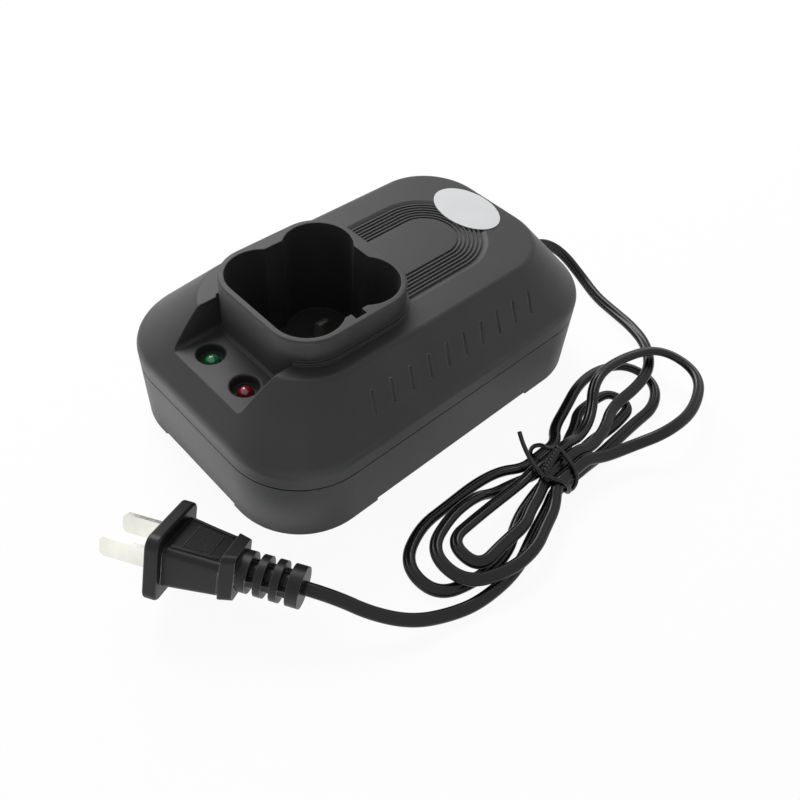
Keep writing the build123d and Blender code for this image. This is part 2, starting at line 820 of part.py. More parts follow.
with BuildPart() as transformer_winding:
    with Locations((board_x, 0, window_base + bobbin_wall)):
        Box(
            bobbin_length - 2 * winding_gap,
            flange_span,
            core_window_height - bobbin_wall - 2 * winding_gap,
            align=stand,
        )
        Box(tube_length, tube_width, core_height, align=stand, mode=Mode.SUBTRACT)
    fillet(transformer_winding.edges().filter_by(Axis.Z).group_by(Axis.X)[0], bobbin_wall)
    fillet(transformer_winding.edges().filter_by(Axis.Z).group_by(Axis.X)[-1], bobbin_wall)
finish(transformer_winding, "transformer_winding")


def capacitor(diameter, height):
    """A round can that stands on z = 0, with a rolled top edge."""
    with BuildPart() as can:
        Cylinder(diameter / 2, height, align=stand)
        fillet(can.edges().group_by(Axis.Z)[-1], capacitor_edge)
    return can.part


def on_board(start_x, place):
    """A place on the top of the main board, measured along it from one of its lines."""
    return (start_x + place[0], place[1], board_top)


# Mains side of the board, nearest the cord
input_capacitor = copies(
    capacitor(input_capacitor_diameter, input_capacitor_height),
    [on_board(board_back, input_capacitor_place)],
)
finish(input_capacitor, "input_capacitor")

with BuildPart() as filter_capacitor:
    with Locations(on_board(board_back, filter_place)):
        Box(filter_length, filter_width, filter_height, align=stand)
    fillet(filter_capacitor.edges().filter_by(Axis.Z), capacitor_edge)
finish(filter_capacitor, "filter_capacitor")

with BuildPart() as fuse:
    with Locations(on_board(board_back, fuse_place)):
        Cylinder(fuse_diameter / 2, fuse_height, align=stand)
finish(fuse, "fuse")

with BuildPart() as filter_choke:
    with Locations(on_board(board_x, choke_place)):
        Cylinder(choke_diameter / 2, choke_height, align=stand)
        Cylinder(choke_bore / 2, choke_height, align=stand, mode=Mode.SUBTRACT)
    fillet(filter_choke.edges().group_by(Axis.Z)[-1], capacitor_edge)
finish(filter_choke, "filter_choke")

with BuildPart() as bridge_rectifier:
    with Locations(on_board(board_back, bridge_place)):
        Box(bridge_length, bridge_width, bridge_height, align=stand)
finish(bridge_rectifier, "bridge_rectifier")

# Battery side of the board, nearest the pocket
output_capacitors = copies(
    capacitor(output_capacitor_diameter, output_capacitor_height),
    [on_board(board_front, place) for place in output_capacitor_places],
)
finish(output_capacitors, "output_capacitors")

with BuildPart() as control_chip:
    with Locations(on_board(board_front, chip_place)):
        Box(chip_length, chip_width, chip_height, align=stand)
    with BuildSketch(Plane.XY.offset(board_top + chip_height)):
        with Locations((board_front + chip_place[0], chip_place[1] - chip_width / 2)):
            Circle(chip_mark_diameter / 2)
    extrude(amount=-chip_mark_depth, mode=Mode.SUBTRACT)
finish(control_chip, "control_chip")

# Heat sink, with the switching transistor flat against it
heat_sink_length = board_length - 2 * heat_sink_end_gap
with BuildPart() as heat_sink:
    with Locations((board_x, heat_sink_y, board_top)):
        Box(heat_sink_length, heat_sink_thickness, heat_sink_height, align=stand)
    fillet(heat_sink.edges().filter_by(Axis.Y).group_by(Axis.Z)[-1], heat_sink_thickness)
finish(heat_sink, "heat_sink")

sink_face_y = heat_sink_y - heat_sink_thickness / 2
switch_x = board_x + heat_sink_length / 2 - switch_end_gap - switch_width / 2
against = (Align.CENTER, Align.MAX, Align.MIN)
with BuildPart() as switching_transistor:
    with Locations((switch_x, sink_face_y, board_top + switch_lift)):
        Box(switch_width, switch_tab_thickness, switch_height, align=against)
        Box(switch_width, switch_thickness, switch_body_height, align=against)
    with Locations((switch_x, sink_face_y - switch_thickness / 2, board_top)):
        with GridLocations(switch_leg_pitch, 1, 3, 1):
            Box(switch_leg_width, switch_leg_width / 2, switch_lift, align=stand)
finish(switching_transistor, "switching_transistor")

# Strain relief in the back wall: inner and outer flange and a tapered nose
relief_outer_x = back_x + relief_flange_thickness
relief_tip_x = relief_outer_x + relief_nose_length
relief_inner_x = back_x - wall - relief_flange_thickness
shank_radius = relief_hole_diameter / 2 - relief_clearance
relief_steps = (
    (relief_inner_x, relief_flange_diameter / 2, relief_flange_thickness),
    (back_x - wall, shank_radius, wall),
    (back_x, relief_flange_diameter / 2, relief_flange_thickness),
)
with BuildPart() as strain_relief:
    for step_x, step_radius, step_length in relief_steps:
        with BuildSketch(Plane.YZ.offset(step_x)):
            with Locations((0, cord_exit_z)):
                Circle(step_radius)
        extrude(amount=step_length)
    for ring_x, ring_radius in ((relief_outer_x, shank_radius), (relief_tip_x, relief_nose_diameter / 2)):
        with BuildSketch(Plane.YZ.offset(ring_x)):
            with Locations((0, cord_exit_z)):
                Circle(ring_radius)
    loft()
finish(strain_relief, "strain_relief")

# Oval paper label on the plateau
with BuildPart() as paper_label:
    with BuildSketch(Plane.XY.offset(plateau_z)):
        with Locations((label_x, label_y)):
            Ellipse(label_length / 2, label_width / 2)
    extrude(amount=label_thickness)
finish(paper_label, "paper_label")


def arc_radii(points):
    """The radius of the bend at each inner point of a route."""
    radii = []
    for before, here, after in zip(points, points[1:], points[2:]):
        run_in = Vector(*here) - Vector(*before)
        run_out = Vector(*after) - Vector(*here)
        half_turn = radians(run_in.get_angle(run_out)) / 2
        radii.append(bend_share * min(run_in.length, run_out.length) / tan(half_turn))
    return radii


def tube(points, diameter, name):
    """A round tube along straight runs joined by tangent arcs, with points along its middle."""
    radii = arc_radii(points)
    with BuildPart() as piece:
        with BuildLine() as route:
            FilletPolyline(*points, radius=radii)
        with BuildSketch(Plane(origin=route.line @ 0, z_dir=route.line % 0)):
            Circle(diameter / 2)
        sweep(path=route.line)
    length = sum(edge.length for edge in route.edges())
    share = piece.part.volume / (length * pi * diameter**2 / 4)
    print(name, "length", round(length, 1), "radii", [round(radius, 1) for radius in radii])
    print(name, "volume share", round(share, 3))
    count = round(length)
    return piece, [tuple(route.line @ (step / count)) for step in range(count)]


# Wires inside the housing: from the contact tails, from the light board and from the mains lead
pad_x = board_front + pad_inset
pad_z = board_top + wire_rise
tail_z = block_z - contact_tail / 2
tail_x = block_x + contact_width / 2
well_end_x = collar_x + collar_size / 2
with BuildPart() as contact_wires:
    for side, pad_y in zip((-1, 1), contact_wire_pads):
        contact_y = side * contact_spacing / 2
        wire_points = [
            (tail_x, contact_y, tail_z),
            (tail_x + wire_rise, contact_y, tail_z),
            (well_end_x - wire_rise, (contact_y + pad_y) / 2, tail_z - inner_wire_diameter),
            (well_end_x + inner_wire_diameter, pad_y, board_z),
            (pad_x - wire_rise, pad_y, pad_z),
            (pad_x, pad_y, pad_z + inner_wire_diameter / 4),
            (pad_x, pad_y, board_top),
        ]
        wire, wire_middle = tube(wire_points, inner_wire_diameter, "contact wire")
        add(wire.part)
finish(contact_wires, "contact_wires")

wire_floor_z = cavity_floor + wire_floor_gap
with BuildPart() as light_wires:
    for index, pad_y in enumerate(light_wire_pads):
        wire_y = (index - 1) * light_wire_pitch
        side_y = [wire_y + share * (pad_y - wire_y) for share in light_wire_shares]
        wire_points = [
            (light_x, wire_y, light_board_z),
            (light_x, wire_y, light_board_z - wire_rise),
            (light_x + wire_rise, side_y[0], board_top + wire_rise / 2),
            (collar_front_x + wire_rise, side_y[1], wire_floor_z + light_wire_diameter),
            (collar_x - contact_offset, side_y[2], wire_floor_z),
            (collar_x + 2 * contact_offset, side_y[3], wire_floor_z + light_wire_diameter / 2),
            (well_end_x + light_wire_diameter, pad_y, board_z),
            (pad_x - wire_rise, pad_y, pad_z),
            (pad_x, pad_y, pad_z + light_wire_diameter / 4),
            (pad_x, pad_y, board_top),
        ]
        wire, wire_middle = tube(wire_points, light_wire_diameter, "light wire")
        add(wire.part)
finish(light_wires, "light_wires")

mains_pad_x = board_back - pad_inset / 2
with BuildPart() as mains_wires:
    for side, pad_y in zip((-1, 1), mains_wire_pads):
        start_y = side * mains_wire_spacing / 2
        wire_points = [
            (relief_inner_x, start_y, cord_exit_z + inner_wire_diameter),
            (relief_inner_x - inner_wire_diameter, start_y, cord_exit_z + inner_wire_diameter),
            (relief_inner_x - 2 * inner_wire_diameter, (start_y + pad_y) / 2, pad_z),
            (mains_pad_x, pad_y, pad_z + inner_wire_diameter / 2),
            (mains_pad_x, pad_y, board_top),
        ]
        wire, wire_middle = tube(wire_points, inner_wire_diameter, "mains wire")
        add(wire.part)
finish(mains_wires, "mains_wires")

# Plug, drawn with its flange face at the origin and its cord toward +X, then set in place.
# It leans over on one rounded corner of its flange.
plug_rest_z = (
    flange_radius
    + (flange_width / 2 - flange_radius) * sin(radians(abs(plug_lean)))
    + (flange_height / 2 - flange_radius) * cos(radians(plug_lean))
)
plug_along = Vector(cos(radians(plug_angle)), sin(radians(plug_angle)), 0)
plug_across = Vector(-sin(radians(plug_angle)), cos(radians(plug_angle)), 0)
plug_up = Vector(0, 0, cos(radians(plug_lean))) - plug_across * sin(radians(plug_lean))
plug_place = Plane(origin=(plug_x, plug_y, plug_rest_z), x_dir=plug_along, z_dir=plug_up)
grip_end = flange_thickness + grip_length
shoulder_end = grip_end + shoulder_length
plug_exit = shoulder_end + sum(rib_thicknesses) + (len(rib_thicknesses) - 1) * rib_gap
grip_drop = (grip_height - grip_end_height) / 2
grip_top = Plane(
    origin=(flange_thickness + grip_length / 2, 0, (grip_height + grip_end_height) / 4),
    x_dir=(grip_length, 0, -grip_drop),
    z_dir=(grip_drop, 0, grip_length),
)
with BuildPart() as plug_form:
    with BuildSketch(Plane.YZ):
        RectangleRounded(flange_width, flange_height, flange_radius)
    extrude(amount=flange_thickness)
    flange_edges = plug_form.edges().group_by(Axis.X)
    fillet(flange_edges[0] + flange_edges[-1], flange_edge_radius)
    with BuildSketch(Plane.YZ.offset(flange_thickness)):
        RectangleRounded(grip_width, grip_height, grip_radius)
    with BuildSketch(Plane.YZ.offset(grip_end)):
        RectangleRounded(grip_end_width, grip_end_height, grip_radius)
    loft()
    with BuildSketch(Plane.YZ.offset(grip_end)):
        RectangleRounded(shoulder_width, shoulder_height, grip_radius)
    with BuildSketch(Plane.YZ.offset(shoulder_end)):
        RectangleRounded(shoulder_end_width, shoulder_height, grip_radius)
    loft()
    with BuildSketch(Plane.YZ.offset(shoulder_end)):
        Circle(rib_core_diameter / 2)
        Rectangle(rib_web_width, rib_web_thickness)
    extrude(amount=plug_exit - shoulder_end)
    rib_start = shoulder_end
    for rib_thickness in rib_thicknesses:
        with BuildSketch(Plane.YZ.offset(rib_start)):
            Circle(rib_diameter / 2)
        extrude(amount=rib_thickness)
        rib_start += rib_thickness + rib_gap
    for side in (-1, 1):
        with BuildSketch(grip_top):
            with BuildLine():
                rail_start = (-rail_length / 2, side * rail_start_spacing / 2)
                Line(rail_start, (rail_length / 2, side * rail_end_spacing / 2))
            trace(line_width=rail_width)
        extrude(amount=rail_height, both=True)
    with BuildSketch(grip_top):
        for index in range(ridge_count):
            share = index / (ridge_count - 1)
            ridge_length = ridge_start_length + share * (ridge_end_length - ridge_start_length)
            with Locations(((share - 0.5) * (ridge_count - 1) * ridge_pitch, 0)):
                Rectangle(ridge_width, ridge_length)
    extrude(amount=ridge_height, both=True)
with BuildPart() as plug_body:
    with Locations(plug_place):
        add(plug_form.part)
finish(plug_body, "plug_body")

for blade_name, side in (("plug_blade_near", -1), ("plug_blade_far", 1)):
    with BuildPart() as blade_form:
        with Locations((0, side * blade_spacing / 2, 0)):
            Box(blade_length, blade_thickness, blade_height, align=(Align.MAX, Align.CENTER, Align.CENTER))
        chamfer(blade_form.edges().filter_by(Axis.Y).group_by(Axis.X)[0], blade_tip_cut)
    with BuildPart() as blade:
        with Locations(plug_place):
            add(blade_form.part)
    finish(blade, blade_name)

# Hank of three turns
layers = [cord_radius + cord_floor_gap + step * layer_step for step in range(3)]
hank_nodes = []


def put(x, y, z, heading):
    """Add one point of the hank, with the level heading of the cord there."""
    hank_nodes.append((Vector(hank_x + x, hank_y + y, z), Vector(*heading, 0).normalized()))


def waist(row, layer, toward):
    """A straight through the waist, along one row of one layer."""
    for x in (-toward * waist_half_length, toward * waist_half_length):
        put(x, row * waist_step, layers[layer] + waist_lift, (toward, 0))


def neck(side, y, layer, row, shoulder, toward):
    """The point next to the waist, heading along the line from waist to shoulder."""
    run_x = shoulder[0] - side * waist_half_length
    run_y = shoulder[1] - row * waist_step
    put(side * neck_distance, y, layers[layer], (toward * run_x, toward * run_y))


def turn(side, sizes, leaving, returning, layer):
    """One turn on one side, from the row and layer it leaves to those it returns to."""
    reach, tip, run_out, run_back, shoulder, neck_out, neck_back = sizes
    shoulder_x = side * shoulder
    neck(side, neck_out, leaving[1], leaving[0], (shoulder_x, run_out), 1)
    put(shoulder_x, run_out, layers[layer], (side, 0))
    put(side * reach, tip, layers[layer], (0, -side))
    put(shoulder_x, run_back, layers[layer], (-side, 0))
    neck(side, neck_back, returning[1], returning[0], (shoulder_x, run_back), -1)
    waist(*returning, -side)


left_turns = list(
    zip(left_reach, left_tip, left_bottom, left_top, left_shoulder, left_bottom_neck, left_top_neck)
)
right_turns = list(
    zip(right_reach, right_tip, right_top, right_bottom, right_shoulder, right_top_neck, right_bottom_neck)
)
start_x, start_y = hank_start
end_x, end_y = hank_end
put(start_x, start_y, layers[1], (-1, 0))
put(start_x - cord_diameter, start_y, layers[1], (-1, 0))
neck(1, hank_start_neck, 1, -0.5, (start_x - cord_diameter, start_y), -1)
waist(-0.5, 1, -1)
turn(-1, left_turns[0], (-0.5, 1), (0.5, 1), 1)
turn(1, right_turns[0], (0.5, 1), (-1.5, 1), 2)
turn(-1, left_turns[1], (-1.5, 1), (0.5, 0), 1)
turn(1, right_turns[1], (0.5, 0), (-0.5, 0), 0)
turn(-1, left_turns[2], (-0.5, 0), (1.5, 0), 0)
turn(1, right_turns[2], (1.5, 0), (-1.5, 0), 0)
neck(-1, hank_end_neck, 0, -1.5, (end_x + cord_diameter, end_y), 1)
put(end_x + cord_diameter, end_y, layers[0], (-1, 0))
put(end_x, end_y, layers[0], (-1, 0))


def join(start, heading, finish_point, finish_heading):
    """A straight, or two tangent arcs, between two points with their headings."""
    run = finish_point - start
    if max(run.get_angle(heading), heading.get_angle(finish_heading)) < tolerance:
        return [Line(start, finish_point)]
    both = heading + finish_heading
    bend = 2 * (1 - heading.dot(finish_heading))
    if bend < straight_bend:
        reach = run.dot(run) / (4 * run.dot(heading))
    else:
        reach = (sqrt(run.dot(both) ** 2 + bend * run.dot(run)) - run.dot(both)) / bend
    middle = (start + finish_point + (heading - finish_heading) * reach) * 0.5
    middle_heading = (finish_point - finish_heading * reach) - (start + heading * reach)
    return [
        TangentArc(start, middle, tangent=heading),
        TangentArc(middle, finish_point, tangent=middle_heading),
    ]


hank_edges = []
with BuildPart() as cord_hank:
    with BuildLine() as hank_route:
        for (point, heading), (next_point, next_heading) in zip(hank_nodes, hank_nodes[1:]):
            hank_edges += join(point, heading, next_point, next_heading)
    with BuildSketch(Plane(origin=hank_nodes[0][0], z_dir=hank_nodes[0][1])):
        Circle(cord_radius)
    sweep(path=hank_route.line)
finish(cord_hank, "cord_hank")

hank_middle = []
for edge in hank_edges:
    count = max(1, round(edge.length))
    hank_middle += [tuple(edge @ (step / count)) for step in range(count)]
hank_length = sum(edge.length for edge in hank_edges)
hank_share = cord_hank.part.volume / (hank_length * pi * cord_radius**2)
hank_radii = [edge.radius for edge in hank_edges if edge.geom_type == GeomType.CIRCLE]
print("hank length", round(hank_length, 1), "least radius", round(min(hank_radii), 1))
print("hank volume share", round(hank_share, 3))

# Free lengths of the cord on either side of the hank
low, high = layers[0], layers[1]
relief_heights = [cord_exit_z - drop for drop in lead_drops] + [low + lead_settle, low]
hank_heights = [low + rise for rise in lead_rises] + [high, high, high]
lead_points = [(relief_tip_x, 0, cord_exit_z)]
for (x, y), z in zip(lead_from_relief, relief_heights):
    lead_points.append((relief_tip_x + x, y, z))
for (x, y), z in zip(lead_to_hank, hank_heights):
    lead_points.append((hank_x + start_x + x, hank_y + start_y + y, z))
lead_points.append((hank_x + start_x, hank_y + start_y, high))
cord_lead_charger, lead_middle = tube(lead_points, cord_diameter, "lead from the charger")
finish(cord_lead_charger, "cord_lead_charger")

plug_axis = plug_place.x_dir
plug_exit_point = plug_place.origin + plug_axis * plug_exit
plug_lead_end = plug_exit_point + plug_axis * plug_lead_straight
plug_lead_points = [(hank_x + end_x, hank_y + end_y, low)]
plug_lead_heights = (low, low, low + plug_lead_rise, low + plug_lead_rise + plug_lead_climb)
for (x, y), z in zip(plug_lead_from_hank, plug_lead_heights):
    plug_lead_points.append((hank_x + end_x + x, hank_y + end_y + y, z))
plug_lead_points += [tuple(plug_lead_end), tuple(plug_exit_point)]
cord_lead_plug, plug_lead_middle = tube(plug_lead_points, cord_diameter, "lead to the plug")
finish(cord_lead_plug, "cord_lead_plug")

apart = round(3 * cord_diameter)
cord_middle = lead_middle + hank_middle + plug_lead_middle
least_gap = min(
    dist(point, other) - cord_diameter
    for index, point in enumerate(cord_middle)
    for other in cord_middle[index + apart :]
)
print("cord length", len(cord_middle), "least gap to itself", round(least_gap, 2))

# Twist tie: a ring close round the waist, a few twists and one free end
tie_offset = cord_radius + tie_gap + tie_diameter / 2
tie_corners = ((-1.5, 0), (1.5, 0), (0.5, 1), (-1.5, 1))
tie_points = [(hank_y + row * waist_step, layers[layer] + waist_lift) for row, layer in tie_corners]
with BuildSketch(Plane.YZ.offset(hank_x)) as tie_outline:
    with BuildLine():
        Polyline(*tie_points, close=True)
    make_face()
    offset(amount=tie_offset)
tie_ring = tie_outline.sketch.faces()[0].outer_wire()
tie_top = Vector(hank_x, hank_y, layers[1] + waist_lift + tie_offset)
tail_points = [tie_top + Vector(*place) for place in (tie_tail_start, tie_tail_middle, tie_tail_end)]
tail_run = (tail_points[1] - tail_points[0]).normalized()
tie_tail, tie_tail_line = tube([tuple(point) for point in tail_points], tie_diameter, "tie end")
with BuildPart() as twist_tie:
    with BuildSketch(Plane(origin=tie_ring @ 0, z_dir=tie_ring % 0)):
        Circle(tie_diameter / 2)
    sweep(path=tie_ring)
    add(tie_tail.part)
    for index in range(tie_twist_count):
        twist_centre = tail_points[1] - tail_run * (tie_twist_inset + index * tie_twist_pitch)
        with Locations(Plane(origin=twist_centre, z_dir=tail_run)):
            Torus((tie_twist_diameter - tie_twist_wire) / 2, tie_twist_wire / 2)
finish(twist_tie, "twist_tie")
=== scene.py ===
from math import acos, cos, pi, radians, sin, sqrt

import bpy
from mathutils import Matrix, Vector


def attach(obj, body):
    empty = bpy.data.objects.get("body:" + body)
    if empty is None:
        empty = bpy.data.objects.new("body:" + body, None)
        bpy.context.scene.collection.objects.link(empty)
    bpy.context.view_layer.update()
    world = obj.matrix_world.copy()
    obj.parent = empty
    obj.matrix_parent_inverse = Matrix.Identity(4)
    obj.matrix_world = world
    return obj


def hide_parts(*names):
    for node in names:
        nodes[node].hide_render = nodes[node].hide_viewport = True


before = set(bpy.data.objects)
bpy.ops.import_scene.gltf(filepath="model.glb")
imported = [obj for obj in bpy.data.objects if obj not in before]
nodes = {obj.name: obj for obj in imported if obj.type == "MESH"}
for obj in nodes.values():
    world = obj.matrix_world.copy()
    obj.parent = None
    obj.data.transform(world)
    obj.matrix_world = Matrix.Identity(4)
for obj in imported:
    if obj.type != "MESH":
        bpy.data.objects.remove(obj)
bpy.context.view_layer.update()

MM = 0.001
UPWARD = Vector((0, 0, 1))


def add_object(name, data):
    """A new object in the scene."""
    made = bpy.data.objects.new(name, data)
    bpy.context.scene.collection.objects.link(made)
    return made


# Camera at the photograph's place and angle, its lens and sensor in millimetres
CAMERA_PLACE = Vector((-148.44, -157.09, 224.49)) * MM
CAMERA_AIM = Vector((-31.35, -48.30, 46.46)) * MM
CAMERA_ROLL = radians(5.41)
CAMERA_LENS = 37.77
SENSOR_WIDTH = 36.0
CLIP_START = 0.01
CLIP_END = 20.0
forward = (CAMERA_AIM - CAMERA_PLACE).normalized()
level_right = forward.cross(UPWARD).normalized()
level_up = level_right.cross(forward)
right = cos(CAMERA_ROLL) * level_right + sin(CAMERA_ROLL) * level_up
up = cos(CAMERA_ROLL) * level_up - sin(CAMERA_ROLL) * level_right
camera_data = bpy.data.cameras.new("camera")
camera_data.lens = CAMERA_LENS
camera_data.sensor_width = SENSOR_WIDTH
camera_data.clip_start = CLIP_START
camera_data.clip_end = CLIP_END
camera = add_object("camera", camera_data)
camera.matrix_world = Matrix((
    (right.x, up.x, -forward.x, CAMERA_PLACE.x),
    (right.y, up.y, -forward.y, CAMERA_PLACE.y),
    (right.z, up.z, -forward.z, CAMERA_PLACE.z),
    (0, 0, 0, 1),
))
bpy.context.scene.camera = camera


def smooth_line(curve, points, resolution):
    """Add one smooth line, whose points are in millimetres, to a curve in metres."""
    line = curve.splines.new("NURBS")
    line.points.add(len(points) - 1)
    for place, point in zip(line.points, points):
        place.co = (*(point * MM), 1.0)
        place.radius = MM
    line.order_u = 3
    line.use_endpoint_u = True
    line.resolution_u = resolution
    return line


# Cord: the route's points, in millimetres, as in the part's source
CORD_DIAMETER = 3.8
RELIEF_TIP = (88.4, 0.0, 12.5)
HANK_CENTRE = Vector((16.0, -77.5, 0.0))
STEP = 4.4
WAIST_HALF = 4.5
WAIST_LIFT = 1.8
NECK_X = 18.0
LAYERS = (2.0, 6.4, 10.8)
LEAD = (
    RELIEF_TIP, (94.4, 0.0, 12.2), (100.6, -2.6, 10.0), (104.0, -8.6, 6.6), (103.6, -18.5, 2.6),
    (98.4, -31.5, 2.0), (95.5, -42.0, 3.2), (91.5, -53.5, 5.4), (86.5, -63.5, 6.4), (78.0, -71.5, 6.4),
    (66.5, -74.5, 6.4),
)
PLUG_LEAD = (
    (-38.0, -95.0, 2.0), (-48.0, -91.9, 2.0), (-59.0, -87.3, 5.0), (-67.6, -79.4, 9.0),
    (-73.981, -69.701, 13.555), (-78.359, -62.415, 13.555),
)
START, START_NECK = (40.0, 3.0), -2.9
END, END_NECK = (-45.0, -17.5), -10.3
# Each turn: reach, tip, run out, run back, shoulder, neck out, neck back
LEFT = (
    (49.0, -4.5, -9.6, 2.2, 30.0, -6.0, 2.1),
    (56.0, -4.0, -17.4, 8.1, 35.0, -12.7, 5.9),
    (63.0, -0.5, -11.7, 13.2, 43.0, -3.7, 12.3),
)
RIGHT = (
    (69.0, -1.0, 14.0, -18.4, 44.0, 2.8, -10.2),
    (44.0, 5.0, 11.1, -1.1, 30.0, 6.5, -0.7),
    (61.0, 7.5, 19.8, -5.4, 45.0, 13.0, -6.2),
)
# Two headings count as parallel where the square of their difference is below this
PARALLEL = 0.000001
hank_nodes = []


def put(x, y, z, heading):
    """Add one point of the hank, with the level heading of the cord there."""
    hank_nodes.append((HANK_CENTRE + Vector((x, y, z)), Vector((*heading, 0.0)).normalized()))


def waist(row, layer, toward):
    """A straight through the waist, along one row of one layer."""
    for x in (-toward * WAIST_HALF, toward * WAIST_HALF):
        put(x, row * STEP, LAYERS[layer] + WAIST_LIFT, (toward, 0))


def neck(side, y, layer, row, shoulder, toward):
    """The point next to the waist, heading along the line from waist to shoulder."""
    run = (shoulder[0] - side * WAIST_HALF, shoulder[1] - row * STEP)
    put(side * NECK_X, y, LAYERS[layer], (toward * run[0], toward * run[1]))


def turn(side, sizes, leaving, returning, layer):
    """One turn on one side, from the row and layer it leaves to those it returns to."""
    reach, tip, run_out, run_back, shoulder, neck_out, neck_back = sizes
    neck(side, neck_out, leaving[1], leaving[0], (side * shoulder, run_out), 1)
    put(side * shoulder, run_out, LAYERS[layer], (side, 0))
    put(side * reach, tip, LAYERS[layer], (0, -side))
    put(side * shoulder, run_back, LAYERS[layer], (-side, 0))
    neck(side, neck_back, returning[1], returning[0], (side * shoulder, run_back), -1)
    waist(*returning, -side)


put(*START, LAYERS[1], (-1, 0))
neck(1, START_NECK, 1, -0.5, (START[0] - CORD_DIAMETER, START[1]), -1)
waist(-0.5, 1, -1)
turn(-1, LEFT[0], (-0.5, 1), (0.5, 1), 1)
turn(1, RIGHT[0], (0.5, 1), (-1.5, 1), 2)
turn(-1, LEFT[1], (-1.5, 1), (0.5, 0), 1)
turn(1, RIGHT[1], (0.5, 0), (-0.5, 0), 0)
turn(-1, LEFT[2], (-0.5, 0), (1.5, 0), 0)
turn(1, RIGHT[2], (1.5, 0), (-1.5, 0), 0)
neck(-1, END_NECK, 0, -1.5, (END[0] + CORD_DIAMETER, END[1]), 1)
put(*END, LAYERS[0], (-1, 0))


def reach_between(start, heading, finish, finish_heading):
    """How far the tangents at both ends run before the cord turns from one to the other."""
    run = finish - start
    both = heading + finish_heading
    bend = 2 * (1 - heading.dot(finish_heading))
    if bend < PARALLEL:
        return run.dot(run) / (4 * run.dot(heading))
    return (sqrt(run.dot(both) ** 2 + bend * run.dot(run)) - run.dot(both)) / bend


hank = []
for (start, heading), (finish, finish_heading) in zip(hank_nodes, hank_nodes[1:]):
    reach = reach_between(start, heading, finish, finish_heading)
    hank += [start + heading * reach, finish - finish_heading * reach]
route = [Vector(point) for point in LEAD] + hank + [Vector(point) for point in PLUG_LEAD]
# Turns about the cord's own line at its first points, in degrees, so that its broad side shows
LEAD_TURNS = (0, 20, 50, 75, 85, 85, 80, 65, 45, 20)
CORD_RESOLUTION = 16
cord_curve = bpy.data.curves.new("mains_cord", "CURVE")
cord_curve.dimensions = "3D"
spline = smooth_line(cord_curve, route, CORD_RESOLUTION)
for place, turned in zip(spline.points, LEAD_TURNS):
    place.tilt = radians(turned)

# Cord's section, in millimetres: two round lobes side by side, with a shallow groove between them
LOBE_RADIUS = 1.4
LOBE_OFFSET = 0.68
LOBE_STEPS = 14
lobe_end = acos(-LOBE_OFFSET / LOBE_RADIUS)
section_points = []
for side, steps in ((1, range(LOBE_STEPS + 1)), (-1, range(1, LOBE_STEPS))):
    for step in steps:
        angle = lobe_end * (2 * step / LOBE_STEPS - 1)
        across = LOBE_OFFSET + LOBE_RADIUS * cos(angle)
        section_points.append((side * across, side * LOBE_RADIUS * sin(angle)))
section_curve = bpy.data.curves.new("cord_section", "CURVE")
section_curve.dimensions = "2D"
section = section_curve.splines.new("POLY")
section.points.add(len(section_points) - 1)
for place, (x, y) in zip(section.points, section_points):
    place.co = (x, y, 0, 1)
section.use_cyclic_u = True
# The radius of the route's points brings the section to metres
cord_curve.bevel_mode = "OBJECT"
cord_curve.bevel_object = bpy.data.objects.new("cord_section", section_curve)
cord_curve.use_fill_caps = True
mains_cord = add_object("mains_cord", cord_curve)
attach(mains_cord, "charger")
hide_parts("cord_lead_charger", "cord_hank", "cord_lead_plug")

# Twist tie, in millimetres from the hank's centre on the floor
TIE_DIAMETER = 1.5
# Round the waist
BAND = (
    (-1.4, -2.0, 0.95), (-2.0, -7.6, 0.95), (-2.2, -9.6, 3.0), (-1.4, -9.8, 7.4), (-0.4, -7.2, 10.9),
    (0.4, -2.6, 11.4), (1.4, 1.6, 11.9), (-0.6, 2.9, 11.3), (-1.2, 4.8, 10.9), (-0.8, 7.2, 9.6),
    (-1.2, 9.6, 6.6), (-1.4, 9.7, 3.0), (-1.4, 7.6, 0.95), (-1.4, 2.0, 0.95),
)
# Over the waist, to the end that stands up
FREE_END = (
    (-2.8, -4.0, 0.95), (-3.2, -8.4, 1.2), (-4.2, -9.9, 4.4), (-6.2, -8.9, 10.0), (-10.4, -4.2, 11.3),
    (-11.0, -0.6, 11.6), (-10.4, 2.8, 12.0), (-8.8, 7.0, 12.6), (-6.8, 11.2, 13.6), (-5.6, 13.2, 14.4),
)
# Two wires wound round each other, from the band to the free end
TWIST_START = Vector((1.0, 1.4, 11.9))
TWIST_END = Vector((-10.4, -2.2, 11.8))
TWIST_RADIUS = 0.8
TWIST_TURNS = 4
TWIST_STEPS = 8
TIE_RESOLUTION = 8
TIE_ROUNDNESS = 4
twist_run = TWIST_END - TWIST_START
twist_side = twist_run.cross(UPWARD).normalized()
twist_top = twist_side.cross(twist_run).normalized()


def helix(phase):
    """One of the two wires wound round each other, from its angle at the start."""
    points = []
    for step in range(TWIST_TURNS * TWIST_STEPS + 1):
        share = step / (TWIST_TURNS * TWIST_STEPS)
        angle = phase + 2 * pi * TWIST_TURNS * share
        around = cos(angle) * twist_side + sin(angle) * twist_top
        points.append(TWIST_START + share * twist_run + TWIST_RADIUS * around)
    return points


tie_curve = bpy.data.curves.new("tie_wires", "CURVE")
tie_curve.dimensions = "3D"
for points in (BAND, FREE_END, helix(0), helix(pi)):
    smooth_line(tie_curve, [HANK_CENTRE + Vector(point) for point in points], TIE_RESOLUTION)
tie_curve.bevel_depth = TIE_DIAMETER / 2
tie_curve.bevel_resolution = TIE_ROUNDNESS
tie_curve.use_fill_caps = True
tie = add_object("tie_wires", tie_curve)
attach(tie, "charger")
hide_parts("twist_tie")


# Material nodes
def object_place(tree):
    """The place on the piece, in metres."""
    return tree.nodes.new("ShaderNodeTexCoord").outputs["Object"]


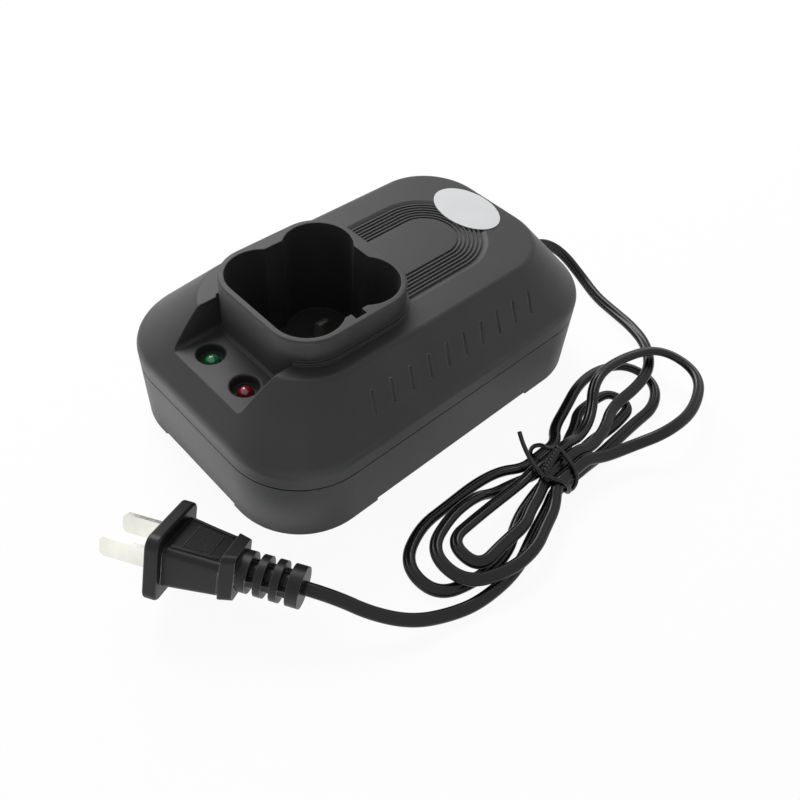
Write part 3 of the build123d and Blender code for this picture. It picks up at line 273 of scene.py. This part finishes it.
def coordinate(tree, where, axis):
    """One coordinate of a place."""
    apart = tree.nodes.new("ShaderNodeSeparateXYZ")
    tree.links.new(where, apart.inputs["Vector"])
    return apart.outputs[axis]


def worked_out(tree, operation, *values):
    """The result of a Math node, from other nodes' outputs and plain numbers."""
    maths = tree.nodes.new("ShaderNodeMath")
    maths.operation = operation
    for entry, value in zip(maths.inputs, values):
        if isinstance(value, float):
            entry.default_value = value
        else:
            tree.links.new(value, entry)
    return maths.outputs[0]


def new_material(name):
    """A node material, with its tree, its shader and the place on the piece."""
    material = bpy.data.materials.new(name)
    material.use_nodes = True
    tree = material.node_tree
    return material, tree, tree.nodes["Principled BSDF"], object_place(tree)


def noise(tree, where, scale, detail=2.0, roughness=0.5):
    """A noise texture's factor, its scale in features per metre."""
    texture = tree.nodes.new("ShaderNodeTexNoise")
    texture.inputs["Scale"].default_value = scale
    texture.inputs["Detail"].default_value = detail
    texture.inputs["Roughness"].default_value = roughness
    tree.links.new(where, texture.inputs["Vector"])
    return texture.outputs["Fac"]


# Noise runs from one colour to the other between these two of its values
CLOUD_START = 0.35
CLOUD_END = 0.65


def cloudy_color(tree, shader, cloud, low, high):
    """Base colour that runs between two colours with a noise texture."""
    blend = tree.nodes.new("ShaderNodeValToRGB")
    ends = blend.color_ramp.elements
    for end, position, color in zip(ends, (CLOUD_START, CLOUD_END), (low, high)):
        end.position = position
        end.color = (*color, 1)
    tree.links.new(cloud, blend.inputs["Fac"])
    tree.links.new(blend.outputs["Color"], shader.inputs["Base Color"])


def spread_color(tree, shader, where, scale, color, spread):
    """Base colour that varies in soft clouds by a share of itself, up and down."""
    low = tuple(c * (1 - spread) for c in color)
    high = tuple(min(1.0, c * (1 + spread)) for c in color)
    cloudy_color(tree, shader, noise(tree, where, scale, detail=4.0), low, high)


def uneven_gloss(tree, shader, marks, low, high):
    """Roughness that runs between two numbers with a noise texture."""
    mapped = tree.nodes.new("ShaderNodeMapRange")
    mapped.inputs["To Min"].default_value = low
    mapped.inputs["To Max"].default_value = high
    tree.links.new(marks, mapped.inputs["Value"])
    tree.links.new(mapped.outputs["Result"], shader.inputs["Roughness"])


def cover(tree, shader, share, color):
    """Lay one colour over the shader's own base colour, by a share."""
    blend = tree.nodes.new("ShaderNodeMix")
    blend.data_type = "RGBA"
    blend.inputs["B"].default_value = (*color, 1)
    base = shader.inputs["Base Color"].links[0].from_socket
    tree.links.new(share, blend.inputs["Factor"])
    tree.links.new(base, blend.inputs["A"])
    tree.links.new(blend.outputs["Result"], shader.inputs["Base Color"])


def bump(tree, shader, height, strength, distance):
    """Surface relief from a height, with its depth in metres."""
    relief = tree.nodes.new("ShaderNodeBump")
    relief.inputs["Strength"].default_value = strength
    relief.inputs["Distance"].default_value = distance
    tree.links.new(height, relief.inputs["Height"])
    tree.links.new(relief.outputs["Normal"], shader.inputs["Normal"])
    return relief


# Edges with a painted highlight: the cosines, between the flat and the rounded normal, where the
# painted highlight starts and is full
FLAT_TURN = 0.995
EDGE_TURN = 0.85
EDGE_HIGHLIGHT_SHARE = 0.7
EDGE_HIGHLIGHT_COLOR = (0.2, 0.2, 0.205)
EDGE_SAMPLES = 6


def edges_with_painted_highlight(tree, shader, relief, radius):
    """Round the edges under a relief, and paint a lighter highlight on them."""
    rounded = tree.nodes.new("ShaderNodeBevel")
    rounded.samples = EDGE_SAMPLES
    rounded.inputs["Radius"].default_value = radius
    tree.links.new(rounded.outputs["Normal"], relief.inputs["Normal"])
    surface = tree.nodes.new("ShaderNodeNewGeometry")
    turned = tree.nodes.new("ShaderNodeVectorMath")
    turned.operation = "DOT_PRODUCT"
    tree.links.new(rounded.outputs["Normal"], turned.inputs[0])
    tree.links.new(surface.outputs["Normal"], turned.inputs[1])
    highlight_share = tree.nodes.new("ShaderNodeMapRange")
    highlight_share.inputs["From Min"].default_value = FLAT_TURN
    highlight_share.inputs["From Max"].default_value = EDGE_TURN
    highlight_share.inputs["To Max"].default_value = EDGE_HIGHLIGHT_SHARE
    tree.links.new(turned.outputs["Value"], highlight_share.inputs["Value"])
    # The lighter colour laid on the edges is a painted highlight
    cover(tree, shader, highlight_share.outputs["Result"], EDGE_HIGHLIGHT_COLOR)


# Plastic: its clouds in a metre, how far its roughness varies, and its grain's depth in metres
PLASTIC_CLOUDS = 60.0
PLASTIC_GLOSS_SPREAD = 0.06
PLASTIC_DEPTH = 0.00008


def plastic(name, color, roughness, grain=2600.0, strength=0.3, spread=0.12, specular=0.5, edge=0.0,
            gloss_grain=900.0):
    """Moulded plastic: a fine grain, and colour and gloss that vary a little."""
    material, tree, shader, where = new_material(name)
    spread_color(tree, shader, where, PLASTIC_CLOUDS, color, spread)
    uneven_gloss(tree, shader, noise(tree, where, gloss_grain, detail=3.0),
                 roughness - PLASTIC_GLOSS_SPREAD, roughness + PLASTIC_GLOSS_SPREAD)
    shader.inputs["Specular IOR Level"].default_value = specular
    if strength:
        height = noise(tree, where, grain, detail=3.0, roughness=0.6)
        relief = bump(tree, shader, height, strength, PLASTIC_DEPTH)
        # With an edge radius, the edges are rounded and get a painted highlight
        if edge:
            edges_with_painted_highlight(tree, shader, relief, edge)
    return material


# Metal: its clouds and gloss marks in a metre, how far both vary, and its marks' depth in metres
METAL_CLOUDS = 120.0
METAL_GLOSS_GRAIN = 700.0
METAL_SPREAD = 0.08
METAL_GLOSS_SPREAD = 0.3
METAL_DEPTH = 0.00003


def metal(name, color, roughness, grain=1500.0, strength=0.15):
    """Metal with faint rolling marks and uneven polish."""
    material, tree, shader, where = new_material(name)
    spread_color(tree, shader, where, METAL_CLOUDS, color, METAL_SPREAD)
    shader.inputs["Metallic"].default_value = 1.0
    uneven_gloss(tree, shader, noise(tree, where, METAL_GLOSS_GRAIN, detail=4.0),
                 roughness * (1 - METAL_GLOSS_SPREAD), roughness * (1 + METAL_GLOSS_SPREAD))
    bump(tree, shader, noise(tree, where, grain), strength, METAL_DEPTH)
    return material


# Lenses of the lights: clouds and ripples in a metre, and light let in to a depth in metres
LENS_CLOUDS = 250.0
LENS_DEEP = 0.7
LENS_ROUGHNESS = 0.12
LENS_INSIDE = 0.4
LENS_REACH = (0.002, 0.002, 0.002)
LENS_COAT = 0.6
LENS_COAT_ROUGHNESS = 0.05
LENS_RIPPLES = 400.0
LENS_RIPPLE_STRENGTH = 0.05
LENS_DEPTH = 0.00005


def lens(name, color):
    """Tinted clear epoxy of a light, in places a little deeper."""
    material, tree, shader, where = new_material(name)
    deep = tuple(c * LENS_DEEP for c in color)
    cloudy_color(tree, shader, noise(tree, where, LENS_CLOUDS), deep, color)
    shader.inputs["Roughness"].default_value = LENS_ROUGHNESS
    shader.inputs["Subsurface Weight"].default_value = LENS_INSIDE
    shader.inputs["Subsurface Radius"].default_value = LENS_REACH
    shader.inputs["Coat Weight"].default_value = LENS_COAT
    shader.inputs["Coat Roughness"].default_value = LENS_COAT_ROUGHNESS
    ripples = noise(tree, where, LENS_RIPPLES, detail=1.0)
    bump(tree, shader, ripples, LENS_RIPPLE_STRENGTH, LENS_DEPTH)
    return material


def dress(material, *names):
    """Give a material to carried-over pieces of the frame."""
    for name in names:
        piece = nodes[name]
        piece.data.materials.clear()
        piece.data.materials.append(material)


# Housing, contact block and label
HOUSING = dict(color=(0.056, 0.056, 0.058), roughness=0.46, spread=0.05, specular=0.22, edge=0.0005)
# The lower half is painted near black above the height where the halves meet, a painted shade so that
# the gap looks black
LIP_BASE = 0.0237
GAP_SHADE_COLOR = (0.002, 0.002, 0.002)
lower_plastic = plastic("lower_plastic", **HOUSING)
tree = lower_plastic.node_tree
painted_gap_shade = worked_out(tree, "GREATER_THAN", coordinate(tree, object_place(tree), "Z"), LIP_BASE)
cover(tree, tree.nodes["Principled BSDF"], painted_gap_shade, GAP_SHADE_COLOR)
dress(plastic("upper_plastic", **HOUSING), "upper_housing")
dress(lower_plastic, "lower_housing")
dress(plastic("block_plastic", (0.03, 0.03, 0.032), 0.45), "contact_block")
dress(plastic("label_paper", (0.92, 0.93, 0.94), 0.55, grain=3500.0, strength=0.2, spread=0.02),
      "paper_label")

# Cord, tie, strain relief and plug
RUBBERY = dict(grain=2200.0, strength=0.25, specular=0.25, edge=0.0003)
cord_sleeve = plastic("cord_sleeve", (0.007, 0.007, 0.0075), 0.25,
                      strength=0, spread=0.2, specular=0.3, gloss_grain=60.0)
tie_sleeve = plastic("tie_sleeve", (0.012, 0.012, 0.012), 0.38,
                     grain=1500.0, strength=0.1, spread=0.2, specular=0.3)
mains_cord.data.materials.append(cord_sleeve)
tie.data.materials.append(tie_sleeve)
dress(plastic("relief_rubber", (0.014, 0.014, 0.015), 0.4, **RUBBERY), "strain_relief")
dress(plastic("plug_plastic", (0.010, 0.010, 0.011), 0.38, **RUBBERY), "plug_body")

# Metal parts
dress(metal("blade_metal", (0.88, 0.87, 0.8), 0.22), "plug_blade_near", "plug_blade_far")
dress(metal("contact_metal", (0.85, 0.83, 0.76), 0.3, grain=900.0, strength=0.05),
      "contact_positive", "contact_negative")
dress(metal("screw_metal", (0.62, 0.62, 0.64), 0.3),
      "housing_screws", "contact_block_screws", "board_screws", "light_board_screws")
dress(metal("sink_metal", (0.78, 0.78, 0.8), 0.35), "heat_sink")

# Lights
dress(lens("green_lens", (0.02, 0.36, 0.13)), "led_green")
dress(lens("red_lens", (0.40, 0.015, 0.03)), "led_red")

# Boards, what stands on them, and wires
dress(plastic("board_phenolic", (0.42, 0.26, 0.10), 0.5, grain=1800.0), "main_board", "light_board")
dress(plastic("ferrite", (0.07, 0.07, 0.075), 0.6, grain=1500.0), "transformer_core", "filter_choke")
dress(plastic("bobbin_plastic", (0.5, 0.42, 0.28), 0.5), "transformer_bobbin")
dress(plastic("winding_tape", (0.75, 0.55, 0.08), 0.3), "transformer_winding")
dress(plastic("capacitor_sleeve", (0.03, 0.05, 0.15), 0.25), "input_capacitor", "output_capacitors")
dress(plastic("filter_box", (0.7, 0.42, 0.06), 0.35), "filter_capacitor")
dress(plastic("epoxy_black", (0.03, 0.03, 0.03), 0.45),
      "fuse", "bridge_rectifier", "control_chip", "switching_transistor")
dress(plastic("wire_sleeve", (0.35, 0.02, 0.02), 0.35), "contact_wires", "light_wires", "mains_wires")


# Floor, in metres
WHITE = (1, 1, 1, 1)
FLOOR = 3.0
FLOOR_COLOR = (0.58, 0.58, 0.58, 1)
FLOOR_ROUGHNESS = 0.9
FLOOR_SPECULAR = 0.1
FLOOR_GLOW = 1.1
FLOOR_GLOW_SHARE = 0.85
BOUNCE = 13.0
BOUNCE_START = 0.09
BOUNCE_END = 0.18


def shown_rays(tree):
    """One for rays of the camera, mirror-like surfaces and clear ones, and nought for the rest."""
    paths = tree.nodes.new("ShaderNodeLightPath")
    share = paths.outputs["Is Camera Ray"]
    for kind in ("Is Glossy Ray", "Is Transmission Ray"):
        share = worked_out(tree, "MAXIMUM", share, paths.outputs[kind])
    return share


def thrown_back(tree, where):
    """Soft light for matt surfaces, from past both ends of the charger, less further out."""
    aside = worked_out(tree, "ABSOLUTE", coordinate(tree, where, "X"))
    fading = tree.nodes.new("ShaderNodeMapRange")
    fading.inputs["From Min"].default_value = BOUNCE_END
    fading.inputs["From Max"].default_value = BOUNCE_START
    tree.links.new(aside, fading.inputs["Value"])
    beyond = worked_out(tree, "GREATER_THAN", aside, BOUNCE_START)
    band = worked_out(tree, "MULTIPLY", fading.outputs["Result"], beyond)
    matt_rays = tree.nodes.new("ShaderNodeLightPath").outputs["Is Diffuse Ray"]
    received = worked_out(tree, "MULTIPLY", band, matt_rays)
    light = tree.nodes.new("ShaderNodeEmission")
    tree.links.new(worked_out(tree, "MULTIPLY", received, BOUNCE), light.inputs["Strength"])
    return light.outputs["Emission"]


def floor_paper():
    """Pale paper, seen near white, that keeps the object's shadow and throws light back."""
    material, tree, shader, where = new_material("floor_paper")
    shader.inputs["Base Color"].default_value = FLOOR_COLOR
    shader.inputs["Roughness"].default_value = FLOOR_ROUGHNESS
    shader.inputs["Specular IOR Level"].default_value = FLOOR_SPECULAR
    glow = tree.nodes.new("ShaderNodeEmission")
    glow.inputs["Color"].default_value = WHITE
    glow.inputs["Strength"].default_value = FLOOR_GLOW
    mix = tree.nodes.new("ShaderNodeMixShader")
    tree.links.new(worked_out(tree, "MULTIPLY", shown_rays(tree), FLOOR_GLOW_SHARE), mix.inputs["Fac"])
    tree.links.new(shader.outputs["BSDF"], mix.inputs[1])
    tree.links.new(glow.outputs["Emission"], mix.inputs[2])
    both = tree.nodes.new("ShaderNodeAddShader")
    tree.links.new(mix.outputs["Shader"], both.inputs[0])
    tree.links.new(thrown_back(tree, where), both.inputs[1])
    tree.links.new(both.outputs["Shader"], tree.nodes["Material Output"].inputs["Surface"])
    return material


floor_mesh = bpy.data.meshes.new("floor")
floor_mesh.from_pydata(
    [(-FLOOR, -FLOOR, 0), (FLOOR, -FLOOR, 0), (FLOOR, FLOOR, 0), (-FLOOR, FLOOR, 0)], [], [(0, 1, 2, 3)]
)
floor_mesh.materials.append(floor_paper())
floor = add_object("floor", floor_mesh)

# Surroundings: seen as white, and lighting the object with less
SURROUND_LIGHT = 0.2
SURROUND_SEEN = 1.0
world = bpy.data.worlds.new("studio")
bpy.context.scene.world = world
world.use_nodes = True
sky = world.node_tree
lighting = sky.nodes["Background"]
seen = sky.nodes.new("ShaderNodeBackground")
for background, strength in ((lighting, SURROUND_LIGHT), (seen, SURROUND_SEEN)):
    background.inputs["Color"].default_value = WHITE
    background.inputs["Strength"].default_value = strength
pick = sky.nodes.new("ShaderNodeMixShader")
sky.links.new(shown_rays(sky), pick.inputs["Fac"])
sky.links.new(lighting.outputs["Background"], pick.inputs[1])
sky.links.new(seen.outputs["Background"], pick.inputs[2])
sky.links.new(pick.outputs["Shader"], sky.nodes["World Output"].inputs["Surface"])


# Lamps, in metres and watts
def softbox(name, place, aim, size, power):
    """A square area lamp that points at a place."""
    data = bpy.data.lights.new(name, "AREA")
    data.shape = "SQUARE"
    data.size = size
    data.energy = power
    lamp = add_object(name, data)
    lamp.location = place
    lamp.rotation_euler = (Vector(aim) - Vector(place)).to_track_quat("-Z", "Y").to_euler()


softbox("key", place=(0.3, 0.95, 0.95), aim=(0, 0, 0.03), size=0.8, power=14.0)
softbox("left", place=(-1.0, 0.15, 0.06), aim=(-0.07, 0, 0.02), size=0.4, power=0.6)

bpy.context.scene.view_settings.view_transform = "Standard"

bpy.context.view_layer.update()
